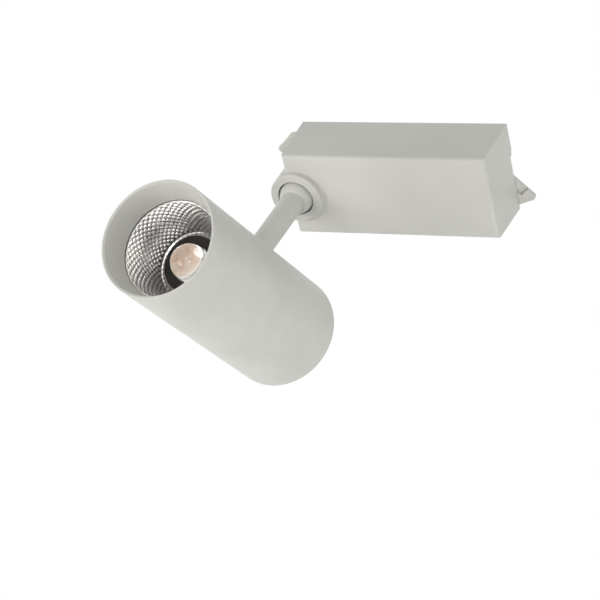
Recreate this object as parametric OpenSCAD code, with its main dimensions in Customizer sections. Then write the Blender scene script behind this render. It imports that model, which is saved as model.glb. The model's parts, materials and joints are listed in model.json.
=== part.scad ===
// Track spotlight: a driver box that locks into a lighting track, a stem that turns in it,
// and a cylindrical lamp head that tilts on the stem's lower end.
// Millimetres. The origin is the centre of the face that seats on the track, +Z points up
// into the track, and +X runs along it.

/* [Driver box] */
// Length of the box's underside
box_l = 114; // [112:1:120]
// Width of the box's underside
box_w = 47.6; // [46:0.2:52]
// How far each side leans out from the underside up to the seat
box_lean = 0.9; // [0.4:0.1:1.2]
// Height from the track seat to the underside
box_h = 34.4; // [34:0.2:36]
// Wall of the moulded shells
shell = 2.2; // [1.8:0.1:2.4]
// Radius of the lower edges
edge_r = 2.2; // [1:0.2:3]

/* [Track tongue] */
// Length of the tongue that goes up into the track
tongue_l = 98; // [98:0.5:102]
// Width of the tongue
tongue_w = 18.6; // [18:0.2:20]
// Height of the tongue above the seat
tongue_h = 19.6; // [19:0.2:21]

/* [Lock levers] */
// Distance of each lever's shaft from the middle of the box
lever_x = 40.5; // [39.5:0.5:40.5]
// Reach of the lever at the free end, from its shaft to its tip
lever_a_reach = 31.6; // [30:0.2:34]
// Reach of the lever at the stem end
lever_b_reach = 35.2; // [33:0.2:36]
// Angle of the lever at the free end, from in line with the track
lever_a_rest = 48; // [0:1:90]
// Angle of the lever at the stem end, from in line with the track
lever_b_rest = 26; // [0:1:90]

/* [Swivel and stem] */
// Distance of the swivel axis from the end of the box
swivel_inset = 5; // [5:0.1:6]
// Outer radius of the swivel tower
tower_r = 14.3; // [14.2:0.1:14.6]
// Height of the swivel ring below the box
ring_h = 3.5; // [3.2:0.1:4]
// How far the swivel disc bulges below the ring
disc_bulge = 4.2; // [3.6:0.1:5]
// Radius of the mouth that the swivel disc turns in
mouth_r = 10; // [9.8:0.1:10.2]
// Outer radius of the stem
stem_r = 6.25; // [6:0.05:6.5]
// Height of the tilt axis, below the track seat
tilt_drop = 125.9; // [124:0.5:132]
// Turn of the lamp head away from straight across the track
pan_rest = -1.7; // [-10:0.1:10]

/* [Lamp head] */
// Outer radius of the head
head_r = 30; // [29.8:0.1:31]
// Wall of the head's tube
head_wall = 1; // [0.9:0.1:1.4]
// Length from the tilt axis forward to the rim
head_front = 75.6; // [75:0.2:80]
// Length from the tilt axis back to the rear edge
head_rear = 62.6; // [60:0.2:70]
// Tilt of the head away from pointing straight down
tilt_rest = 52.9; // [0:0.1:90]

/* [Optics] */
// Depth of the reflector's mouth behind the rim
mouth_depth = 14.6; // [14:0.2:16]
// Inner radius of the reflector's mouth
reflector_r = 24.6; // [24:0.1:25]
// Inner radius of the reflector's throat
throat_r = 17; // [16:0.1:17.2]
// Radius of the domed lens
lens_r = 9.3; // [9:0.1:10]

/* [Hidden] */
$fn = 96;

eps = 0.01;
slack = 0.02;      // between pieces that are fixed to each other
running = 0.05;    // radial clearance of a shaft that turns
inner_r = 2;       // radius of the box's inside corners
seat_t = 1.6;      // thickness of the base plate over the levers
seat_rib = 4.4;    // its thickness inside the box
pocket_z = -3;     // floor of the pockets that the levers swing in
lever_half = 8.3;  // half of a lever's width
lever_top = -0.3;
lever_bottom = -2.7;
rim_z = -5;        // top of the swivel tower
floor_z = -box_h + shell;
swivel_x = -box_l / 2 + swivel_inset;
ring_z = -box_h - ring_h;
web_bottom = -33.2;
web_top = -29;
disc_r = mouth_r - 0.65;
disc_top = web_bottom - 0.85;
bush_r = 8.6;
neck_r = 6.95;
wire_bore_r = 3.2;
shaft_r = 3.5;
rotor_r = 6.6;
blade_z = 9;
blade_t = 1.2;
blade_w = 5;
blade_reach = 13;
blade_turn = 30;    // from opposite the lever to the contact blade
tongue_wall = 1.5;
tongue_floor = 1.5;
tongue_corner = 5;
cap_lip = 1;       // wall of the cap's rim inside the tongue
cap_z = tongue_h - 1.6;
seat_screw_x = 27;
seat_screw_y = 18;
screw_r = 1.5;     // of the M3 screws
screw_hole_r = 1.7;
screw_head_r = 2.5;
seat_post_r = 3.1;
board_screw_r = 1.2;
board_post_r = 2.6;
pocket_side_x = 7; // from lever a's shaft to the opening in the side of its pocket
pocket_wall = 1.5; // what a pocket leaves of the box's side
fillet_r = 0.6;    // between the ring and the underside of the box
board_top = -25.8;
board_t = 1.6;
board_x = 7;
board_l = 86;
board_w = 39;
board_screw = [39, 16];
stem_bore_r = 4.55;
stem_top = ring_z - disc_bulge;
stem_end = 12.5;   // from the tilt axis up to the stem's lower end
knuckle_w = 9;
eye_r = 6.5;
washer_t = 0.75;
cheek_in = knuckle_w / 2 + washer_t + 0.1;
cheek_t = 3;
bolt_r = 2.5;
slot_r = stem_r + 0.95;
bore_r = head_r - head_wall;
flange_z = mouth_depth + 2;
reflector_end = 36.6;
reflector_t = 0.8;
lens_centre = 33;  // depth of the centre of the lens's dome
lens_seat = 37.2;  // depth of the face that the lens sits on
lens_rim = 1.3;    // thickness of the lens's flange
ring_front = 35;
ring_r = 14.8;
sink_face = 39.2;
holder_screw_x = 21.6;
bracket_screw_x = 11;
bracket_foot = 2.5;
lead_r = 0.75;
lead_x = 3;        // of the two leads through the heat sink
lead_y = 13;
cob_t = 1.2;
phosphor_t = 0.7;
sink_base = 6;
sink_end = 64;
cap_t = 2.4;

// ---- shapes used more than once ----

// A rectangle with rounded corners, centred
module rounded_rect(l, w, r) {
    square([l - 2 * r, w], center = true);
    square([l, w - 2 * r], center = true);
    for (sx = [-1, 1], sy = [-1, 1])
        translate([sx * (l / 2 - r), sy * (w / 2 - r)]) circle(r);
}

// An upright block with rounded corners, from z0 to z1
module rounded_block(l, w, r, z0, z1) {
    translate([0, 0, z0]) linear_extrude(z1 - z0) rounded_rect(l, w, r);
}

// A tube or ring, from z0 to z1
module ring(r_out, r_in, z0, z1) {
    translate([0, 0, z0]) difference() {
        cylinder(r = r_out, h = z1 - z0);
        translate([0, 0, -1]) cylinder(r = r_in, h = z1 - z0 + 2);
    }
}

// A hexagonal nut or bolt head along Z, given across its flats
module hexagon(flats, z0, z1) {
    translate([0, 0, z0]) cylinder(d = flats / cos(30), h = z1 - z0, $fn = 6);
}

// Places a piece on a lever's shaft; end is 1 for lever a and -1 for lever b
module at_lever(end) {
    rest = end > 0 ? lever_a_rest : 180 + lever_b_rest;
    translate([end * lever_x, 0, 0]) rotate([0, 0, rest]) children();
}

// Places a piece on the swivel axis, turned with the stem
module at_swivel() {
    translate([swivel_x, 0, 0]) rotate([0, 0, pan_rest]) children();
}

// Places a piece on the tilt axis, which is the piece's own X, without the tilt
module at_pivot() {
    translate([0, 0, -tilt_drop]) children();
}

// Places a piece of the head: its front points to -Z before the tilt
module at_head() {
    at_swivel() at_pivot() rotate([-tilt_rest, 0, 0]) children();
}

// Height in the head's own frame of a given depth behind the rim
function depth(d) = d - head_front;

// ---- driver box ----

// A length rounded to a thousandth, so that surfaces worked out separately meet exactly
function micron(v) = round(v * 1000) / 1000;

// One side of the box in section, from the rounded lower edge up to the seat; half is
// half the underside's width
function side_points(half) = concat(
    [for (a = [90:-15:0]) [half - edge_r + micron(edge_r * cos(a)),
        edge_r - box_h - micron(edge_r * sin(a))]],
    [[half + box_lean, 0]]);

// The box in section, closed at the seat
module box_section(half) {
    right = side_points(half);
    left = [for (i = [len(right) - 1:-1:0]) [-right[i][0], right[i][1]]];
    polygon(concat(right, left));
}

module section_along_x(x0, x1) {
    translate([x0, 0, 0]) rotate([90, 0, 90]) linear_extrude(x1 - x0) box_section(box_w / 2);
}

module section_along_y(y0, y1) {
    translate([0, y1, 0]) rotate([90, 0, 0]) linear_extrude(y1 - y0) box_section(box_l / 2);
}

// The solid box without its tower, whose four sides lean out
module box_outside() {
    intersection() {
        section_along_x(-box_l, box_l);
        section_along_y(-box_w, box_w);
    }
}

// Everything between two heights, to cut the box into its base and its housing
module slab(z0, z1) {
    translate([-box_l, -box_w, z0]) cube([2 * box_l, 2 * box_w, z1 - z0]);
}

// The swivel tower, which stands in the end of the box and ends in a ring below it
module tower_outside() {
    round_r = 0.9;
    translate([swivel_x, 0, 0]) rotate_extrude() {
        polygon([[0, ring_z], [tower_r - round_r, ring_z], [tower_r, ring_z + round_r],
            [tower_r, rim_z], [0, rim_z]]);
        translate([tower_r - round_r, ring_z + round_r]) circle(r = round_r);
    }
    // the fillet between the ring and the underside of the box
    intersection() {
        translate([swivel_x, 0, 0]) rotate_extrude()
            polygon([[0, -box_h - fillet_r], [tower_r, -box_h - fillet_r],
                [tower_r + fillet_r / 3, -box_h - fillet_r / 3], [tower_r + fillet_r, -box_h],
                [tower_r + fillet_r, -box_h + 0.5], [0, -box_h + 0.5]]);
        rounded_block(box_l - 0.1, box_w - 0.1, inner_r, -box_h - 5, 0);
    }
}

// The space at the top of the box that a lever swings in: open upward and at the end, and
// for lever a also through the side next to the corner
module lever_pocket(end) {
    room = lever_half + 0.7;
    inner = box_w / 2 - pocket_wall;
    translate([end * lever_x, 0, pocket_z]) rotate([0, 0, end > 0 ? 0 : 180]) {
        translate([-room, -room, 0]) cube([60, room + inner, -pocket_z]);
        if (end > 0) translate([pocket_side_x, 0, 0]) cube([60, 60, -pocket_z]);
    }
}

module screw_posts() {
    for (sx = [-1, 1], sy = [-1, 1])
        translate([sx * seat_screw_x, sy * seat_screw_y, floor_z - 1])
            cylinder(r = seat_post_r, h = -seat_rib - floor_z + 1);
    for (sx = [-1, 1], sy = [-1, 1])
        translate([board_x + sx * board_screw[0], sy * board_screw[1], floor_z - 1])
            cylinder(r = board_post_r, h = board_top - board_t - floor_z + 1);
}

module screw_pilots() {
    for (sx = [-1, 1], sy = [-1, 1])
        translate([sx * seat_screw_x, sy * seat_screw_y, -14])
            cylinder(r = screw_r + slack, h = 20);
    for (sx = [-1, 1], sy = [-1, 1])
        translate([board_x + sx * board_screw[0], sy * board_screw[1], -31.5])
            cylinder(r = board_screw_r + slack, h = 10);
}

module housing() {
    color("gainsboro") difference() {
        union() {
            difference() {
                union() {
                    intersection() {
                        box_outside();
                        slab(-box_h - 1, -seat_t);
                    }
                    tower_outside();
                }
                rounded_block(box_l - 2 * shell, box_w - 2 * shell, inner_r, floor_z, 5);
                translate([swivel_x, 0, floor_z - 1])
                    cylinder(r = tower_r - shell, h = rim_z - shell - floor_z + 1);
            }
            screw_posts();
            // the web that carries the swivel bush
            translate([swivel_x, 0, ring_z + 1])
                cylinder(r = tower_r - 1, h = web_top - ring_z - 1);
            // the stop that ends the swivel's turn
            translate([swivel_x - tower_r + 1, -0.35, web_top - 1]) cube([3.2, 0.7, 2.6]);
        }
        translate([swivel_x, 0, ring_z - 1]) cylinder(r = mouth_r, h = web_bottom - ring_z + 1);
        translate([swivel_x, 0, web_bottom - 1]) cylinder(r = bush_r, h = 10);
        screw_pilots();
        lever_pocket(1);
        lever_pocket(-1);
    }
}

module track_base() {
    color("whitesmoke") difference() {
        union() {
            intersection() {
                box_outside();
                slab(-seat_t + eps, 0);
            }
            rounded_block(box_l - 2 * shell - 0.3, box_w - 2 * shell - 0.3, inner_r,
                -seat_rib + eps, -seat_t + 0.5);
            rounded_block(tongue_l, tongue_w, tongue_corner, -0.5, cap_z);
        }
        rounded_block(tongue_l - 2 * tongue_wall, tongue_w - 2 * tongue_wall,
            tongue_corner - tongue_wall, tongue_floor, 40);
        for (end = [-1, 1]) {
            lever_pocket(end);
            translate([end * lever_x, 0, -5]) cylinder(r = shaft_r + running, h = 10);
            translate([end * 14, 0, -5]) cylinder(r = 2, h = 10);
            // the window that the contact blade swings out through
            translate([end * (lever_x - 4), -end * tongue_w / 2, blade_z + blade_t / 2])
                cube([19, 5, blade_t + 1.6], center = true);
        }
        for (sx = [-1, 1], sy = [-1, 1])
            translate([sx * seat_screw_x, sy * seat_screw_y, -5]) {
                cylinder(r = screw_hole_r, h = 10);
                translate([0, 0, 5 - 1.7]) cylinder(r1 = screw_r, r2 = 3.2, h = 1.7 + eps);
            }
    }
}

module tongue_cap() {
    lip_l = tongue_l - 2 * tongue_wall - 0.1;
    lip_w = tongue_w - 2 * tongue_wall - 0.1;
    lip_corner = tongue_corner - tongue_wall - 0.1;
    color("whitesmoke") difference() {
        union() {
            rounded_block(tongue_l, tongue_w, tongue_corner, cap_z + eps, tongue_h);
            rounded_block(lip_l, lip_w, lip_corner, cap_z - 1, cap_z + 0.5);
        }
        rounded_block(lip_l - 2 * cap_lip, lip_w - 2 * cap_lip, lip_corner - cap_lip,
            cap_z - 2, cap_z);
    }
}

// Countersunk screws, from the track seat down into the housing's posts
module base_screws() {
    color("silver") for (sx = [-1, 1], sy = [-1, 1])
        translate([sx * seat_screw_x, sy * seat_screw_y, 0]) difference() {
            union() {
                translate([0, 0, -1.65]) cylinder(r1 = screw_r, r2 = 2 * screw_r, h = 1.6);
                translate([0, 0, -13]) cylinder(r = screw_r, h = 12);
            }
            for (turn = [0, 90]) rotate([0, 0, turn]) cube([3, 0.7, 1.6], center = true);
        }
}

// A sprung strip on the tongue's side that touches the track's earth rail
module earth_contact() {
    color("peru") {
        translate([-14, tongue_w / 2 + eps, 5]) cube([28, 0.6, 7]);
        intersection() {
            translate([-6, tongue_w / 2 + 0.5, 5]) cube([12, 2, 7]);
            translate([0, tongue_w / 2 - 8.2, 4]) cylinder(r = 10, h = 9);
        }
    }
}

// ---- driver electronics ----

module driver_board() {
    color("seagreen") difference() {
        translate([board_x - board_l / 2, -board_w / 2, board_top - board_t])
            cube([board_l, board_w, board_t]);
        for (sx = [-1, 1], sy = [-1, 1]) {
            translate([board_x + sx * board_screw[0], sy * board_screw[1], -40])
                cylinder(r = 1.4, h = 30);
            translate([sx * seat_screw_x, sy * seat_screw_y, -40]) cylinder(r = 3.4, h = 30);
        }
    }
}

module board_screws() {
    color("silver") for (sx = [-1, 1], sy = [-1, 1])
        translate([board_x + sx * board_screw[0], sy * board_screw[1], board_top]) {
            translate([0, 0, eps]) cylinder(r = 2.3, h = 1.5);
            translate([0, 0, -5]) cylinder(r = board_screw_r, h = 5.5);
        }
}

module transformer() {
    translate([18, 0, board_top + eps]) {
        color("dimgray") difference() {
            translate([-10, -8, 2]) cube([20, 16, 14]);
            translate([-6.5, -9, 5]) cube([13, 18, 8]);
        }
        color("gold") {
            translate([-6.4, -9.5, 0]) cube([12.8, 19, 2.1]);
            translate([-6.4, 0, 9]) rotate([0, 90, 0]) cylinder(r = 3.95, h = 12.8);
        }
    }
}

module input_capacitor() {
    color("midnightblue") translate([32, -7.5, board_top + 5.1]) rotate([0, 90, 0]) {
        cylinder(r = 5, h = 16);
        translate([0, 0, 16]) cylinder(r = 4.4, h = 0.8);
    }
}

module output_capacitor() {
    color("midnightblue") translate([-8, 11, board_top + eps]) {
        cylinder(r = 4, h = 13);
        cylinder(r = 4.3, h = 1);
    }
}

module choke() {
    color("darkgoldenrod") translate([-12, -9, board_top + 3.2]) rotate_extrude()
        translate([6, 0]) circle(r = 3.1);
}

module driver_chip() {
    color("black") translate([-2, 0, board_top + eps]) {
        translate([-4, -2, 0.2]) cube([8, 4, 1.6]);
        for (i = [-3:2:3]) translate([i - 0.3, -3.2, 0]) cube([0.6, 6.4, 0.8]);
    }
}

module terminal_block() {
    color("whitesmoke") translate([33.5, 1, board_top + eps]) difference() {
        cube([9, 12, 9]);
        for (y = [2.6, 6, 9.4]) {
            translate([-1, y, 3.4]) rotate([0, 90, 0]) cylinder(r = 1.1, h = 6);
            translate([4.5, y, 4]) cylinder(r = 1.3, h = 6);
        }
    }
}

// ---- swivel ----

module pan_bush() {
    color("tan") translate([swivel_x, 0, 0]) {
        ring(bush_r - slack, neck_r + running, web_bottom - 2 * eps, web_top);
        ring(bush_r + 0.7, neck_r + running, web_bottom - 0.8, web_bottom - eps);
    }
}

// The disc that turns in the ring's mouth; its steep underside narrows to the stem's root
module swivel_disc() {
    root_r = stem_r + 0.6;
    color("gainsboro") at_swivel() rotate_extrude()
        polygon([[wire_bore_r, stem_top - 8], [stem_bore_r - slack, stem_top - 8],
            [stem_bore_r - slack, stem_top], [root_r, stem_top],
            [root_r + 0.35, stem_top + 0.35], [disc_r - 1.15, ring_z - 2.1],
            [disc_r - 0.45, ring_z], [disc_r - 0.1, ring_z + 1.3], [disc_r, ring_z + 2],
            [disc_r, disc_top], [neck_r, disc_top], [neck_r, -22], [wire_bore_r, -22]]);
}

// A washer whose tab meets the stop in the tower near the end of the turn
module stop_washer() {
    color("silver") translate([swivel_x, 0, 0]) {
        ring(9.4, neck_r + slack, web_top + 0.1, web_top + 1.1);
        translate([9, -0.5, web_top + 0.1]) cube([2.6, 1, 1]);
    }
}

module pan_nut() {
    color("silver") at_swivel() difference() {
        hexagon(16, web_top + 1.1 + eps, web_top + 5);
        translate([0, 0, web_top]) cylinder(r = neck_r + slack, h = 10);
    }
}

module stem() {
    color("gainsboro") at_swivel()
        ring(stem_r, stem_bore_r, stem_end - tilt_drop, stem_top - eps);
}

// The eye at the stem's lower end that the head turns on
module tilt_knuckle() {
    color("silver") at_swivel() at_pivot() difference() {
        union() {
            rotate([0, 90, 0]) cylinder(r = eye_r, h = knuckle_w, center = true);
            translate([-knuckle_w / 2, -knuckle_w / 2, 0])
                cube([knuckle_w, knuckle_w, stem_end - eps]);
            cylinder(r = stem_bore_r - slack, h = stem_end + 8);
        }
        rotate([0, 90, 0]) cylinder(r = bolt_r + running, h = 30, center = true);
    }
}

module stem_leads() {
    lead_l = 72;
    for (side = [-1, 1]) color(side > 0 ? "firebrick" : "black")
        at_swivel() translate([side * 1.3, 0, -26 - lead_l]) cylinder(r = lead_r, h = lead_l);
}

// ---- lock levers ----

// The lever's outline: a paddle whose tip is cut off at a slant, with one round corner
module lever_outline(reach) {
    tip_r = 2.2;
    circle(r = lever_half);
    polygon([[0, -lever_half], [reach - tip_r, -lever_half], [reach, tip_r - lever_half],
        [reach - 2.6, 0.4], [reach - 4.3, 5.3], [reach - 8, lever_half], [0, lever_half]]);
    translate([reach - tip_r, tip_r - lever_half]) circle(r = tip_r);
}

module lock_lever(end) {
    reach = end > 0 ? lever_a_reach : lever_b_reach;
    color("whitesmoke") at_lever(end) difference() {
        union() {
            translate([0, 0, lever_bottom])
                linear_extrude(lever_top - lever_bottom) lever_outline(reach);
            translate([0, 0, lever_top - 0.5]) cylinder(r = shaft_r, h = 17.4 - lever_top + 0.5);
        }
        // the finger grip in the side that is pushed
        translate([reach - 9.6, -lever_half - 1, lever_bottom - 1]) cube([3.2, 6.5, 2.7]);
    }
}

module contact_rotor(end) {
    color("ivory") at_lever(end) difference() {
        translate([0, 0, tongue_floor + 0.3]) cylinder(r = rotor_r, h = 16 - tongue_floor);
        translate([0, 0, -1]) cylinder(r = shaft_r + slack, h = 20);
        rotate([0, 0, blade_turn]) translate([-10, -blade_w / 2 - slack, blade_z - slack])
            cube([10, blade_w + 2 * slack, blade_t + 2 * slack]);
    }
}

module contact_blade(end) {
    color("peru") at_lever(end) rotate([0, 0, blade_turn]) difference() {
        translate([0, 0, blade_z]) linear_extrude(blade_t) {
            translate([2.5 - blade_reach, -blade_w / 2]) square([blade_reach - 2.5, blade_w]);
            translate([2.5 - blade_reach, 0]) circle(r = blade_w / 2);
        }
        translate([0, 0, -1]) cylinder(r = shaft_r + slack, h = 20);
        translate([-1, -10, 0]) cube([20, 20, 20]);
    }
}

module rotor_clip(end) {
    color("silver") at_lever(end) difference() {
        ring(5.4, shaft_r + slack, 16.3 + eps, 17);
        translate([0, -1.8, 15]) cube([10, 3.6, 4]);
    }
}

// ---- lamp head ----

// The way the stem sweeps through the head's wall and cap as the head tilts
module stem_slot(z0, z1) {
    translate([-slot_r, -head_r - 1, z0]) cube([2 * slot_r, head_r + 1, z1 - z0]);
}

module head_tube() {
    color("gainsboro") at_head() difference() {
        rotate_extrude() polygon([[bore_r, depth(0.3)], [bore_r + 0.3, depth(0)],
            [head_r - 0.2, depth(0)], [head_r, depth(0.2)], [head_r, head_rear - 0.3],
            [head_r - 0.3, head_rear], [bore_r, head_rear]]);
        stem_slot(0, head_rear + 1);
        rotate([90, 0, 0]) cylinder(r = slot_r, h = head_r + 1);
    }
}

module rear_cap() {
    color("gainsboro") at_head() difference() {
        union() {
            ring(bore_r - slack, bore_r - 1.8, head_rear - 8, head_rear - 0.4);
            translate([0, 0, head_rear - 0.4 - cap_t]) cylinder(r = bore_r - slack, h = cap_t);
        }
        stem_slot(head_rear - 10, head_rear + 1);
        translate([0, 0, head_rear - 10]) cylinder(r = slot_r, h = 12);
    }
}

// The matt cone between the rim and the reflector; a gap parts it from the reflector's lip
module front_bezel() {
    lip_r = reflector_r + 0.45;
    color("whitesmoke") at_head() rotate_extrude()
        polygon([[bore_r - 0.4, depth(0.35)], [bore_r - slack, depth(0.35)],
            [bore_r - slack, depth(flange_z - eps)], [bore_r - 1.7, depth(flange_z - eps)],
            [bore_r - 1.7, depth(mouth_depth - 0.4)], [lip_r, depth(mouth_depth - 0.6)],
            [lip_r, depth(mouth_depth - 1.2)]]);
}

// Radius and depth of the reflector's inside, with t from 0 at its mouth to 1 at its throat;
// the area of its section falls evenly with depth
function bowl_r(t) = sqrt(reflector_r * reflector_r * (1 - t) + throat_r * throat_r * t);
function bowl_d(t) = mouth_depth + (reflector_end - mouth_depth) * t;

// The bowl, a flat lip at its throat around the lens ring, and the flange that holds it
module reflector() {
    steps = 12;
    lip_r = ring_r + 0.3;
    inside = [for (i = [0:steps]) [bowl_r(i / steps), depth(bowl_d(i / steps))]];
    lip = [[lip_r, depth(reflector_end + 0.1)], [lip_r, depth(lens_seat - 0.05)],
        [throat_r + reflector_t, depth(lens_seat - 0.05)]];
    outside = [for (i = [steps:-1:2]) [bowl_r(i / steps) + reflector_t, depth(bowl_d(i / steps))]];
    flange = [[reflector_r + 0.2, depth(flange_z + reflector_t)],
        [bore_r - 0.3, depth(flange_z + reflector_t)], [bore_r - 0.3, depth(flange_z)],
        [reflector_r + 0.25, depth(flange_z)], [reflector_r + 0.25, depth(mouth_depth)]];
    color("silver") at_head() rotate_extrude()
        polygon(concat(inside, lip, outside, flange));
}

// The tube that clamps the reflector's flange against the bezel
module reflector_spacer() {
    color("dimgray") at_head()
        ring(bore_r - 0.1, bore_r - 1.9, depth(flange_z + reflector_t + eps), depth(lens_seat));
}

module lens_ring() {
    color("black") at_head() difference() {
        ring(ring_r, lens_r + 0.3, depth(ring_front), depth(lens_seat) - eps);
        translate([0, 0, depth(lens_seat - lens_rim - slack)]) cylinder(r = 12.1, h = 5);
    }
}

// A solid dome on a short barrel, with a flange that the lens ring holds down
module lens_dome() {
    color("lightcyan") at_head() {
        intersection() {
            translate([0, 0, depth(lens_centre)]) sphere(r = lens_r);
            translate([0, 0, depth(lens_centre) - 20]) cylinder(r = 20, h = 20);
        }
        translate([0, 0, depth(lens_centre)])
            cylinder(r = lens_r, h = lens_seat - lens_centre - eps);
        translate([0, 0, depth(lens_seat - lens_rim)]) cylinder(r = 12, h = lens_rim - eps);
    }
}

module led_holder() {
    color("white") at_head() difference() {
        ring(bore_r - 0.1, 4, depth(lens_seat + eps), depth(sink_face - eps));
        translate([-10, -10, depth(lens_seat - 1)]) cube([20, 20, 8]);
        for (side = [-1, 1])
            translate([side * holder_screw_x, 0, depth(lens_seat - 1)])
                cylinder(r = screw_hole_r, h = 5);
    }
}

module holder_screws() {
    color("silver") at_head() for (side = [-1, 1]) translate([side * holder_screw_x, 0, 0]) {
        translate([0, 0, depth(lens_seat - 1.6)]) cylinder(r = screw_head_r, h = 1.6);
        translate([0, 0, depth(lens_seat - 0.5)]) cylinder(r = screw_r, h = 8);
    }
}

module cob_board() {
    color("gainsboro") at_head()
        translate([-9.9, -9.9, depth(sink_face - cob_t)]) cube([19.8, 19.8, cob_t - eps]);
}

module led_disc() {
    color("khaki") at_head()
        translate([0, 0, depth(sink_face - cob_t - phosphor_t)])
            cylinder(r = 8.6, h = phosphor_t - eps);
}

module heat_sink() {
    fin_t = 2;
    fin_pitch = 6.4;
    color("silver") at_head() difference() {
        union() {
            translate([0, 0, depth(sink_face)]) cylinder(r = bore_r - 0.1, h = sink_base);
            translate([0, 0, depth(sink_face)]) cylinder(r = 15, h = sink_end - sink_face);
            intersection() {
                translate([0, 0, depth(sink_face)])
                    cylinder(r = bore_r - 0.1, h = sink_end - sink_face);
                for (i = [-4:4]) translate([i * fin_pitch - fin_t / 2, -head_r, depth(sink_face)])
                    cube([fin_t, 2 * head_r, sink_end - sink_face]);
            }
        }
        for (side = [-1, 1]) {
            translate([side * lead_x, lead_y, depth(sink_face) - 1])
                cylinder(r = lead_r + 0.35, h = 40);
            translate([side * holder_screw_x, 0, depth(sink_face) - 1])
                cylinder(r = screw_r + slack, h = sink_base + 0.5);
            translate([side * bracket_screw_x, 0, depth(sink_end) - 7])
                cylinder(r = screw_r + slack, h = 8);
        }
    }
}

// The fork on the heat sink that holds the tilt bolt
module pivot_bracket() {
    foot_z = depth(sink_end);
    color("gray") at_head() difference() {
        union() {
            translate([-14, -9, foot_z + eps]) cube([28, 18, bracket_foot]);
            for (side = [-1, 1]) {
                x0 = side > 0 ? cheek_in : -cheek_in - cheek_t;
                translate([x0, -7, foot_z + 1]) cube([cheek_t, 14, -foot_z - 1]);
                translate([x0, 0, 0]) rotate([0, 90, 0]) cylinder(r = 7, h = cheek_t);
            }
        }
        rotate([0, 90, 0]) cylinder(r = bolt_r + slack, h = 40, center = true);
        for (side = [-1, 1]) translate([side * bracket_screw_x, 0, foot_z - 1])
            cylinder(r = screw_hole_r, h = 10);
    }
}

module bracket_screws() {
    color("silver") at_head() for (side = [-1, 1])
        translate([side * bracket_screw_x, 0, depth(sink_end) + bracket_foot]) {
            translate([0, 0, 2 * eps]) cylinder(r = screw_head_r, h = 1.6);
            translate([0, 0, -8]) cylinder(r = screw_r, h = 8.5);
        }
}

module tilt_bolt() {
    out = cheek_in + cheek_t + eps;
    color("silver") at_head() rotate([0, 90, 0]) {
        translate([0, 0, -out]) cylinder(r = bolt_r, h = 2 * out + 4.5);
        hexagon(8, -out - 3.2, -out);
    }
}

module tilt_nut() {
    out = cheek_in + cheek_t + eps;
    color("silver") at_head() rotate([0, 90, 0]) difference() {
        hexagon(8, out, out + 4);
        cylinder(r = bolt_r + slack, h = 30);
    }
}

module friction_washers() {
    color("black") at_head() rotate([0, 90, 0]) for (side = [-1, 1])
        translate([0, 0, side > 0 ? cheek_in - washer_t : -cheek_in])
            ring(6, bolt_r + 0.03, eps, washer_t - eps);
}

module led_leads() {
    for (side = [-1, 1]) color(side > 0 ? "firebrick" : "black") at_head()
        translate([side * lead_x, lead_y, depth(sink_face) + 0.2]) cylinder(r = lead_r, h = 26);
}

module lock_lever_a() { lock_lever(1); }
module contact_rotor_a() { contact_rotor(1); }
module contact_blade_a() { contact_blade(1); }
module rotor_clip_a() { rotor_clip(1); }
module lock_lever_b() { lock_lever(-1); }
module contact_rotor_b() { contact_rotor(-1); }
module contact_blade_b() { contact_blade(-1); }
module rotor_clip_b() { rotor_clip(-1); }

housing();
track_base();
tongue_cap();
base_screws();
earth_contact();
driver_board();
board_screws();
transformer();
input_capacitor();
output_capacitor();
choke();
driver_chip();
terminal_block();
pan_bush();
lock_lever_a();
contact_rotor_a();
contact_blade_a();
rotor_clip_a();
lock_lever_b();
contact_rotor_b();
contact_blade_b();
rotor_clip_b();
swivel_disc();
stop_washer();
pan_nut();
stem();
tilt_knuckle();
stem_leads();
head_tube();
rear_cap();
front_bezel();
reflector();
reflector_spacer();
lens_ring();
lens_dome();
led_holder();
holder_screws();
cob_board();
led_disc();
heat_sink();
pivot_bracket();
bracket_screws();
tilt_bolt();
tilt_nut();
friction_washers();
led_leads();
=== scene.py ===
# Track spotlight: looks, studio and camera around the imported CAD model.
# Lengths are metres in the CAD frame: the origin is the middle of the track seat, +Z goes up
# into the track and +X runs along it.
import json
import math

import bpy
from mathutils import Matrix, Vector


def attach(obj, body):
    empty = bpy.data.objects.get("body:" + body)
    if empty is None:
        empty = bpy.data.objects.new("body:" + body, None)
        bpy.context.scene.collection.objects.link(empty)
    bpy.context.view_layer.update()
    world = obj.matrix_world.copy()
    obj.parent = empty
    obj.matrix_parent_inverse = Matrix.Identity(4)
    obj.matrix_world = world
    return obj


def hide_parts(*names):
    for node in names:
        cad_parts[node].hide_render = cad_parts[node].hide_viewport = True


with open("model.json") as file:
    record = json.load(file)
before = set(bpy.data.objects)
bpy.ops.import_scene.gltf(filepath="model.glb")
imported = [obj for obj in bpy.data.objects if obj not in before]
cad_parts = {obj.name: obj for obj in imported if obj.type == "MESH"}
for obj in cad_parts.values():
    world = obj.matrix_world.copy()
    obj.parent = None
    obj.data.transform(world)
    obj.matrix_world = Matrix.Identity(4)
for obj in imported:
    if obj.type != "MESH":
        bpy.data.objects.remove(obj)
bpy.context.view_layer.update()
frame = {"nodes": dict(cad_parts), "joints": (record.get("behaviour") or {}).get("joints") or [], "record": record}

MM = 0.001
NODES = frame["nodes"]


# ---------------------------------------------------------------- camera

CAMERA_PLACE = Vector((0.4800, -0.5888, -0.9675))
CAMERA_TARGET = Vector((-0.02923, 0.02257, -0.09835))
CAMERA_ROLL = math.radians(34.245)
CAMERA_LENS = 139.15


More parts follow.
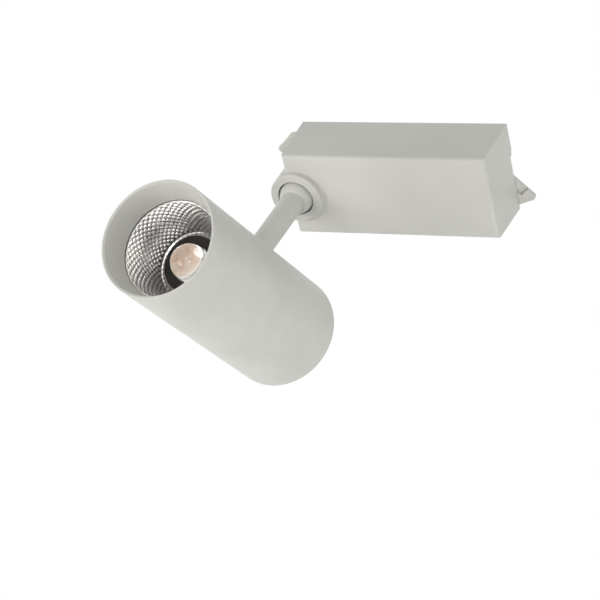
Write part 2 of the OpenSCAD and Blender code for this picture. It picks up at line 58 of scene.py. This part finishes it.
def make_camera():
    """A long lens below the lamp, looking up at the underside of the box and rolled."""
    data = bpy.data.cameras.new("studio_camera")
    data.lens = CAMERA_LENS
    data.sensor_width = 36.0
    data.clip_start = 0.01
    data.clip_end = 100.0
    camera = bpy.data.objects.new("studio_camera", data)
    bpy.context.scene.collection.objects.link(camera)
    look = (CAMERA_TARGET - CAMERA_PLACE).to_track_quat("-Z", "Y")
    camera.rotation_mode = "QUATERNION"
    camera.rotation_quaternion = look @ Matrix.Rotation(CAMERA_ROLL, 3, "Z").to_quaternion()
    camera.location = CAMERA_PLACE
    bpy.context.scene.camera = camera


make_camera()


# ---------------------------------------------------------------- materials

def map_range(tree, value, source, target):
    """A node that takes a value from the source range to the target range."""
    made = tree.nodes.new("ShaderNodeMapRange")
    for socket, number in zip(("From Min", "From Max", "To Min", "To Max"), (*source, *target)):
        made.inputs[socket].default_value = number
    tree.links.new(value, made.inputs["Value"])
    return made


NOISE_MIDDLE = (0.3, 0.7)   # the range that most of a noise's values lie in


class Paint:
    """A material under construction: a Principled shader and short ways to add nodes to it."""

    def __init__(self, name, colour, roughness=0.5, metallic=0.0, **sockets):
        self.material = bpy.data.materials.new(name)
        self.material.use_nodes = True
        self.tree = self.material.node_tree
        self.shader = self.tree.nodes["Principled BSDF"]
        self.set("Base Color", (*colour, 1.0))
        self.set("Roughness", roughness)
        self.set("Metallic", metallic)
        for socket, value in sockets.items():
            self.set(socket.replace("_", " "), value)
        self.place = self.node("ShaderNodeTexCoord").outputs["Object"]
        self.height = None

    def node(self, kind, **values):
        made = self.tree.nodes.new(kind)
        for key, value in values.items():
            setattr(made, key, value)
        return made

    def link(self, out, into):
        self.tree.links.new(out, into)

    def set(self, socket, value):
        self.shader.inputs[socket].default_value = value

    def noise(self, scale, detail=2.0, rough=0.5, stretch=None):
        """Noise of about scale cells per metre, stretched along an axis if asked."""
        made = self.node("ShaderNodeTexNoise")
        made.inputs["Scale"].default_value = scale
        made.inputs["Detail"].default_value = detail
        made.inputs["Roughness"].default_value = rough
        place = self.place
        if stretch:
            mapping = self.node("ShaderNodeMapping")
            mapping.inputs["Scale"].default_value = stretch
            self.link(place, mapping.inputs["Vector"])
            place = mapping.outputs["Vector"]
        self.link(place, made.inputs["Vector"])
        return made.outputs["Fac"]

    def spread(self, value, low, high, socket):
        """Drives a socket from low to high as a noise goes through its middle."""
        ramp = map_range(self.tree, value, NOISE_MIDDLE, (low, high))
        self.link(ramp.outputs["Result"], self.shader.inputs[socket])

    def tint(self, value, first, second, low=0.35, high=0.65):
        """Colours the surface from first to second as value goes from low to high."""
        ramp = self.node("ShaderNodeValToRGB")
        ramp.color_ramp.elements[0].position = low
        ramp.color_ramp.elements[0].color = (*first, 1.0)
        ramp.color_ramp.elements[1].position = high
        ramp.color_ramp.elements[1].color = (*second, 1.0)
        self.link(value, ramp.inputs["Fac"])
        self.link(ramp.outputs["Color"], self.shader.inputs["Base Color"])
        return ramp

    def bump(self, value, distance, strength=1.0):
        """Adds relief of the given depth in metres on top of any added before."""
        made = self.node("ShaderNodeBump")
        made.inputs["Distance"].default_value = distance
        made.inputs["Strength"].default_value = strength
        self.link(value, made.inputs["Height"])
        if self.height:
            self.link(self.height, made.inputs["Normal"])
        self.height = made.outputs["Normal"]
        self.link(self.height, self.shader.inputs["Normal"])


def shade(colour, factor):
    """The colour made lighter or darker."""
    return tuple(min(1.0, c * factor) for c in colour)


WARM_WHITE = (0.600, 0.602, 0.574)


def powder_coat(name, colour=WARM_WHITE, grain=1.0):
    """Satin powder coat: fine orange peel, a little unevenness in tone and in gloss."""
    paint = Paint(name, colour, 0.48, Specular_IOR_Level=0.42)
    paint.tint(paint.noise(38, 3, 0.6), shade(colour, 0.965), shade(colour, 1.03))
    paint.spread(paint.noise(900, 2), 0.42, 0.55, "Roughness")
    paint.bump(paint.noise(1500, 2, 0.55), 0.00006 * grain, 0.55)
    paint.bump(paint.noise(5200, 1, 0.5), 0.00002 * grain, 0.4)
    return paint.material


def moulded_plastic(name, colour=WARM_WHITE, roughness=0.46):
    """Moulded polycarbonate with a fine spark-eroded texture."""
    paint = Paint(name, colour, roughness, Specular_IOR_Level=0.45)
    paint.tint(paint.noise(26, 2, 0.5), shade(colour, 0.975), shade(colour, 1.02))
    paint.spread(paint.noise(1400, 3), roughness - 0.06, roughness + 0.08, "Roughness")
    paint.bump(paint.noise(4200, 3, 0.65), 0.00003, 0.5)
    return paint.material


def black_plastic(name):
    """Satin black moulding."""
    paint = Paint(name, (0.012, 0.010, 0.009), 0.45, Specular_IOR_Level=0.22)
    paint.tint(paint.noise(300, 3), (0.009, 0.007, 0.006), (0.018, 0.014, 0.012))
    paint.spread(paint.noise(2200, 3), 0.38, 0.55, "Roughness")
    paint.bump(paint.noise(5200, 2), 0.00002, 0.4)
    return paint.material


# The reflector's facet attribute is 0 in the creases, 1 at the middle of a facet, and
# FACET_LIP on the lip, the back and the flange; above LIP_START the metal turns frosted
FACET_LIP = 2.0
LIP_START = 1.2
MIRROR = 0.86       # how metallic the facets are
FROSTED = 0.1       # and the lip


def metallised_with_painted_facet_light(name):
    """Vacuum-metallised facets with painted shade in the creases between and a painted highlight at each facet's
    middle, with a whiter frosted lip.
    """
    paint = Paint(name, (0.86, 0.86, 0.87), 0.22, MIRROR)
    facet = paint.node("ShaderNodeAttribute", attribute_name="facet").outputs["Fac"]
    # painted shade darkens the metal in the creases and a painted highlight whitens each facet's middle
    ramp = paint.tint(facet, (0.26, 0.25, 0.245), (1.0, 0.99, 0.98), 0.08, 0.60)
    painted_light_stop = ramp.color_ramp.elements.new(0.38)
    painted_light_stop.color = (0.82, 0.81, 0.805, 1.0)
    paint.spread(paint.noise(420, 3), 0.17, 0.25, "Roughness")
    lip = map_range(paint.tree, facet, (LIP_START, FACET_LIP), (MIRROR, FROSTED))
    paint.link(lip.outputs["Result"], paint.shader.inputs["Metallic"])
    return paint.material


def bare_metal(name, colour, roughness=0.3, stretch=None, depth=0.00003):
    """Metal with fine machining lines and uneven gloss."""
    paint = Paint(name, colour, roughness, 1.0)
    lines = paint.noise(1800, 3, 0.6, stretch or (1.0, 1.0, 0.12))
    paint.tint(lines, shade(colour, 0.86), shade(colour, 1.08))
    paint.spread(lines, roughness - 0.08, roughness + 0.12, "Roughness")
    paint.bump(lines, depth, 0.35)
    return paint.material


def clear_lens(name):
    """Moulded silicone optic, with faint ripples."""
    paint = Paint(name, (1.0, 1.0, 1.0), 0.03, Transmission_Weight=1.0, IOR=1.43)
    paint.bump(paint.noise(160, 2), 0.0002, 0.15)
    return paint.material


def phosphor(name):
    """Silicone phosphor over the LED dies: peach, with a fine uneven tone."""
    peach = (0.80, 0.60, 0.46)
    paint = Paint(name, peach, 0.42, Subsurface_Weight=0.3, Subsurface_Scale=0.002)
    paint.shader.inputs["Subsurface Radius"].default_value = (1.0, 0.5, 0.25)
    paint.tint(paint.noise(900, 3, 0.6), (0.76, 0.49, 0.34), (0.83, 0.70, 0.585))
    paint.bump(paint.noise(700, 2), 0.0001, 0.3)
    return paint.material


def circuit_board(name):
    """Green solder mask with copper tracks showing through."""
    mask = (0.012, 0.10, 0.035)
    paint = Paint(name, mask, 0.28, Coat_Weight=0.4, Coat_Roughness=0.15)
    tracks = paint.node("ShaderNodeTexVoronoi", feature="DISTANCE_TO_EDGE")
    tracks.distance = "EUCLIDEAN"
    tracks.inputs["Scale"].default_value = 240
    paint.link(paint.place, tracks.inputs["Vector"])
    paint.tint(tracks.outputs["Distance"], (0.03, 0.20, 0.06), mask, 0.06, 0.09)
    paint.bump(tracks.outputs["Distance"], 0.00005, 0.3)
    return paint.material


def coated(name, colour, roughness, scale=600):
    """Sleeves, tape and insulation: smooth plastic with small handling marks."""
    paint = Paint(name, colour, roughness, Coat_Weight=0.2, Coat_Roughness=0.2)
    paint.tint(paint.noise(scale, 3), shade(colour, 0.82), shade(colour, 1.15))
    paint.spread(paint.noise(scale * 2, 2), roughness - 0.06, roughness + 0.1, "Roughness")
    paint.bump(paint.noise(scale * 3, 2), 0.00003, 0.4)
    return paint.material


def winding(name):
    """Enamelled copper wire wound side by side."""
    copper = (0.52, 0.22, 0.08)
    paint = Paint(name, copper, 0.25, 0.9, Coat_Weight=0.6, Coat_Roughness=0.1)
    wires = paint.node("ShaderNodeTexWave", wave_type="RINGS", rings_direction="SPHERICAL")
    wires.inputs["Scale"].default_value = 420
    wires.inputs["Distortion"].default_value = 1.5
    paint.link(paint.place, wires.inputs["Vector"])
    paint.tint(wires.outputs["Fac"], shade(copper, 0.45), shade(copper, 1.2), 0.1, 0.8)
    paint.bump(wires.outputs["Fac"], 0.0001, 0.5)
    return paint.material


LOOKS = {
    "housing_plastic": moulded_plastic("housing_plastic"),
    "base_plastic": moulded_plastic("base_plastic"),
    "lever_plastic": moulded_plastic("lever_plastic", shade(WARM_WHITE, 0.98), 0.40),
    "rotor_plastic": moulded_plastic("rotor_plastic", (0.62, 0.58, 0.46), 0.42),
    "contact_copper": bare_metal("contact_copper", (0.88, 0.48, 0.30), 0.25),
    "zinc_steel": bare_metal("zinc_steel", (0.66, 0.67, 0.69), 0.30),
    "bush_plastic": moulded_plastic("bush_plastic", (0.55, 0.46, 0.30), 0.38),
    "board_green": circuit_board("board_green"),
    "ferrite_yellow": coated("ferrite_yellow", (0.62, 0.42, 0.05), 0.35),
    "capacitor_sleeve": coated("capacitor_sleeve", (0.012, 0.018, 0.060), 0.22),
    "choke_winding": winding("choke_winding"),
    "chip_black": coated("chip_black", (0.014, 0.014, 0.014), 0.5, 2000),
    "stem_paint": powder_coat("stem_paint"),
    "cast_zinc": bare_metal("cast_zinc", (0.52, 0.53, 0.54), 0.42, (1.0, 1.0, 1.0), 0.00008),
    "lead_insulation": coated("lead_insulation", (0.30, 0.02, 0.015), 0.38, 900),
    "head_paint": powder_coat("head_paint"),
    "bezel_plastic": moulded_plastic("bezel_plastic", WARM_WHITE, 0.42),
    "reflector_chrome": metallised_with_painted_facet_light("reflector_chrome"),
    "black_plastic": black_plastic("black_plastic"),
    "lens_clear": clear_lens("lens_clear"),
    "holder_white": moulded_plastic("holder_white", (0.82, 0.82, 0.80), 0.40),
    "board_aluminium": coated("board_aluminium", (0.74, 0.74, 0.72), 0.35),
    "led_phosphor": phosphor("led_phosphor"),
    "sink_aluminium": bare_metal("sink_aluminium", (0.70, 0.71, 0.72), 0.32),
    "washer_fibre": coated("washer_fibre", (0.030, 0.026, 0.024), 0.6, 1500),
}


def dress(piece, look):
    """Gives a piece its one material."""
    piece.data.materials.clear()
    piece.data.materials.append(LOOKS[look])


# ---------------------------------------------------------------- CAD nodes

# Width in millimetres of the broken edges, where they are wider than SMALL_EDGE
BROKEN_EDGE = {"housing": 0.45, "track_base": 0.3, "tongue_cap": 0.5, "lock_lever_a": 0.35,
               "lock_lever_b": 0.35, "head_tube": 0.3, "rear_cap": 0.4, "stem": 0.2,
               "swivel_disc": 0.15, "front_bezel": 0.15, "lens_ring": 0.25,
               "pivot_bracket": 0.4, "tilt_knuckle": 0.4, "heat_sink": 0.2}
SMALL_EDGE = 0.12
EDGE_SEGMENTS = 3
MERGE = 0.000002            # vertices nearer than this are one
FACE_WEIGHT = 60            # how far large faces rule the shading near an edge
SHARP = math.radians(32)    # an edge that is broken turns more than this
FLAT = math.radians(0.2)    # faces that are merged turn less than this


def refine(node):
    """Breaks the sharp edges of a CAD node and evens its shading, by modifiers only."""
    piece = NODES[node]
    piece.data.polygons.foreach_set("use_smooth", [True] * len(piece.data.polygons))
    join = piece.modifiers.new("join_faces", "WELD")
    join.merge_threshold = MERGE
    flatten = piece.modifiers.new("merge_flat_faces", "DECIMATE")
    flatten.decimate_type = "DISSOLVE"
    flatten.angle_limit = FLAT
    edge = piece.modifiers.new("break_edges", "BEVEL")
    edge.width = BROKEN_EDGE.get(node, SMALL_EDGE) * MM
    edge.segments = EDGE_SEGMENTS
    edge.limit_method = "ANGLE"
    edge.angle_limit = SHARP
    edge.harden_normals = True
    even = piece.modifiers.new("even_shading", "WEIGHTED_NORMAL")
    even.weight = FACE_WEIGHT
    even.keep_sharp = False


for row in frame["record"]["subparts"]:
    dress(NODES[row["node"]], row["material_slot"])
    refine(row["node"])


# ---------------------------------------------------------------- reflector

TILT = next(joint for joint in frame["joints"] if joint["name"] == "tilt")
HEAD_CENTRE = Vector(TILT["pos_m"])
HEAD_LIFT = math.radians(TILT["range_deg"][1])  # how far the saved pose is from straight down
HEAD_FRONT = 75.6 * MM                          # from the tilt axis to the front rim


def head_matrix():
    """From the head's own frame, with its front to -Z and its tilt axis on X, to the CAD frame."""
    across = Vector(TILT["axis"]).normalized()
    turn = Matrix.Rotation(math.atan2(across.y, across.x), 4, "Z")
    return Matrix.Translation(HEAD_CENTRE) @ turn @ Matrix.Rotation(-HEAD_LIFT, 4, "X")


def new_head_piece(name, vertices, faces, look):
    """A smooth mesh piece given in the head's frame, that rides on the head."""
    mesh = bpy.data.meshes.new(name)
    mesh.from_pydata([tuple(v) for v in vertices], [], faces)
    mesh.validate()
    mesh.transform(head_matrix())
    mesh.polygons.foreach_set("use_smooth", [True] * len(mesh.polygons))
    piece = bpy.data.objects.new(name, mesh)
    bpy.context.scene.collection.objects.link(piece)
    dress(piece, look)
    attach(piece, "head")
    return piece


# The reflector, in millimetres; depths are from the head's front rim
MOUTH_DEPTH = 14.6
THROAT_DEPTH = 36.6
MOUTH_R = 24.6
THROAT_R = 17.0
FACETS_ROUND = 42
FACETS_DEEP = 8
PILLOW = 0.16           # how far a facet's middle stands in
STEPS_PER_FACET = 8
AROUND = FACETS_ROUND * STEPS_PER_FACET
DEEP = FACETS_DEEP * STEPS_PER_FACET
SHELL = 0.8
SHELL_STEPS = 12
# Points of the section as radius and depth, round the lip and round the flange
LIP = [(15.1, 36.7), (15.1, 37.15), (17.8, 37.15)]
FLANGE = [(24.8, 17.4), (28.7, 17.4), (28.7, 16.6), (24.85, 16.6), (24.85, 14.6)]


def bowl(t):
    """Radius and depth of the reflector's inside, in millimetres, from mouth to throat."""
    radius = math.sqrt(MOUTH_R ** 2 * (1 - t) + THROAT_R ** 2 * t)
    return radius, MOUTH_DEPTH + (THROAT_DEPTH - MOUTH_DEPTH) * t


def pillow(turn, t):
    """How far the crossing spirals of facets stand in from the bowl, from 0 to 1."""
    first = (turn * FACETS_ROUND + t * FACETS_DEEP) % 1.0
    second = (turn * FACETS_ROUND - t * FACETS_DEEP) % 1.0
    return 16 * first * (1 - first) * second * (1 - second)


def ring_vertices(radii, depth):
    """One ring of the reflector, with a radius for each step around, in metres."""
    return [(radii[i] * MM * math.cos(math.tau * i / AROUND),
             radii[i] * MM * math.sin(math.tau * i / AROUND),
             depth * MM - HEAD_FRONT) for i in range(AROUND)]


def make_reflector():
    """The facets from mouth to throat, then round the lip, the shell's back and the flange."""
    crowns = [[pillow(i / AROUND, j / DEEP) for i in range(AROUND)] for j in range(DEEP + 1)]
    vertices = []
    for j, row in enumerate(crowns):
        radius, depth = bowl(j / DEEP)
        vertices += ring_vertices([radius - PILLOW * crown for crown in row], depth)
    shell = [bowl(step / SHELL_STEPS) for step in range(SHELL_STEPS, 1, -1)]
    back = LIP + [(radius + SHELL, depth) for radius, depth in shell] + FLANGE
    for radius, depth in back:
        vertices += ring_vertices([radius] * AROUND, depth)

    rings = len(crowns) + len(back)
    faces = []
    for j in range(rings):
        here, there = j * AROUND, (j + 1) % rings * AROUND
        for i in range(AROUND):
            beside = (i + 1) % AROUND
            faces.append((here + i, here + beside, there + beside, there + i))
    piece = new_head_piece("faceted_reflector", vertices, faces, "reflector_chrome")
    facet = piece.data.attributes.new("facet", "FLOAT", "POINT")
    facet.data.foreach_set("value", [crown for row in crowns for crown in row]
                           + [FACET_LIP] * (len(back) * AROUND))
    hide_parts("reflector")


make_reflector()


# ---------------------------------------------------------------- studio

FLOOR_Z = -2.4
FLOOR_HALF = 20.0
FLOOR_GLOW = 0.42       # lifts the floor to the pale tone that the lamp is seen against
AMBIENT = 0.415         # the world's light on matt surfaces
AMBIENT_GLOSS = 1.16    # and in a first reflection
AMBIENT_DEEP = 9.0      # and in the third and later ones, inside the reflector
LAMP_MIDDLE = Vector((-0.02, 0.0, -0.08))
# Softboxes as place, diameter in metres and power in watts
SOFTBOXES = {
    "left_softbox": ((-0.547, -0.385, -0.813), 0.6, 4.2),
    "far_left_softbox": ((-1.0, -0.25, -1.0), 0.6, 1.7),
    "low_softbox": ((0.281, 0.496, -0.892), 0.6, 3.6),
    "front_softbox": ((0.661, -0.86, -1.28), 0.5, 4.0),
    "right_softbox": ((1.255, -0.128, 0.069), 0.7, 2.7),
    "high_softbox": ((0.753, -0.99, 0.294), 0.7, 1.2),
}


def make_floor():
    """A wide pale floor, well below the lamp, which hangs from its track face."""
    mesh = bpy.data.meshes.new("studio_floor")
    corners = [(-1, -1), (1, -1), (1, 1), (-1, 1)]
    mesh.from_pydata([(x * FLOOR_HALF, y * FLOOR_HALF, FLOOR_Z) for x, y in corners],
                     [], [(0, 1, 2, 3)])
    floor = bpy.data.objects.new("studio_floor", mesh)
    bpy.context.scene.collection.objects.link(floor)
    paint = Paint("studio_floor", (0.82, 0.82, 0.81), 0.7)
    paint.tint(paint.noise(1.2, 2), (0.81, 0.81, 0.80), (0.83, 0.83, 0.82))
    paint.set("Emission Color", (1.0, 1.0, 0.99, 1.0))
    paint.set("Emission Strength", FLOOR_GLOW)
    floor.data.materials.append(paint.material)
    floor.visible_diffuse = False


def make_world():
    """White behind the lamp and pale grey to light it, brighter in gloss and in deep mirrors."""
    world = bpy.data.worlds.new("studio_world")
    bpy.context.scene.world = world
    world.use_nodes = True
    tree = world.node_tree
    tree.nodes.clear()
    out = tree.nodes.new("ShaderNodeOutputWorld")
    mix = tree.nodes.new("ShaderNodeMixShader")
    seen = tree.nodes.new("ShaderNodeBackground")
    lit = tree.nodes.new("ShaderNodeBackground")
    path = tree.nodes.new("ShaderNodeLightPath")
    seen.inputs["Color"].default_value = (1.0, 1.0, 1.0, 1.0)
    seen.inputs["Strength"].default_value = 1.0
    lit.inputs["Color"].default_value = (1.0, 0.99, 0.97, 1.0)
    again = map_range(tree, path.outputs["Glossy Depth"], (1.0, 3.0),
                      (AMBIENT_GLOSS, AMBIENT_DEEP))
    gloss = map_range(tree, path.outputs["Is Glossy Ray"], (0.0, 1.0),
                      (AMBIENT, AMBIENT_GLOSS))
    tree.links.new(again.outputs["Result"], gloss.inputs["To Max"])
    tree.links.new(gloss.outputs["Result"], lit.inputs["Strength"])
    tree.links.new(path.outputs["Is Camera Ray"], mix.inputs["Fac"])
    tree.links.new(lit.outputs["Background"], mix.inputs[1])
    tree.links.new(seen.outputs["Background"], mix.inputs[2])
    tree.links.new(mix.outputs["Shader"], out.inputs["Surface"])


def make_softbox(name, place, size, power):
    """A round, slightly warm area light that faces the lamp."""
    data = bpy.data.lights.new(name, "AREA")
    data.shape = "DISK"
    data.size = size
    data.energy = power
    data.color = (1.0, 0.985, 0.96)
    lamp = bpy.data.objects.new(name, data)
    bpy.context.scene.collection.objects.link(lamp)
    lamp.location = place
    aim = LAMP_MIDDLE - Vector(place)
    lamp.rotation_euler = aim.to_track_quat("-Z", "Y").to_euler()


make_floor()
make_world()
for softbox, setting in SOFTBOXES.items():
    make_softbox(softbox, *setting)
bpy.context.scene.view_settings.view_transform = "Standard"
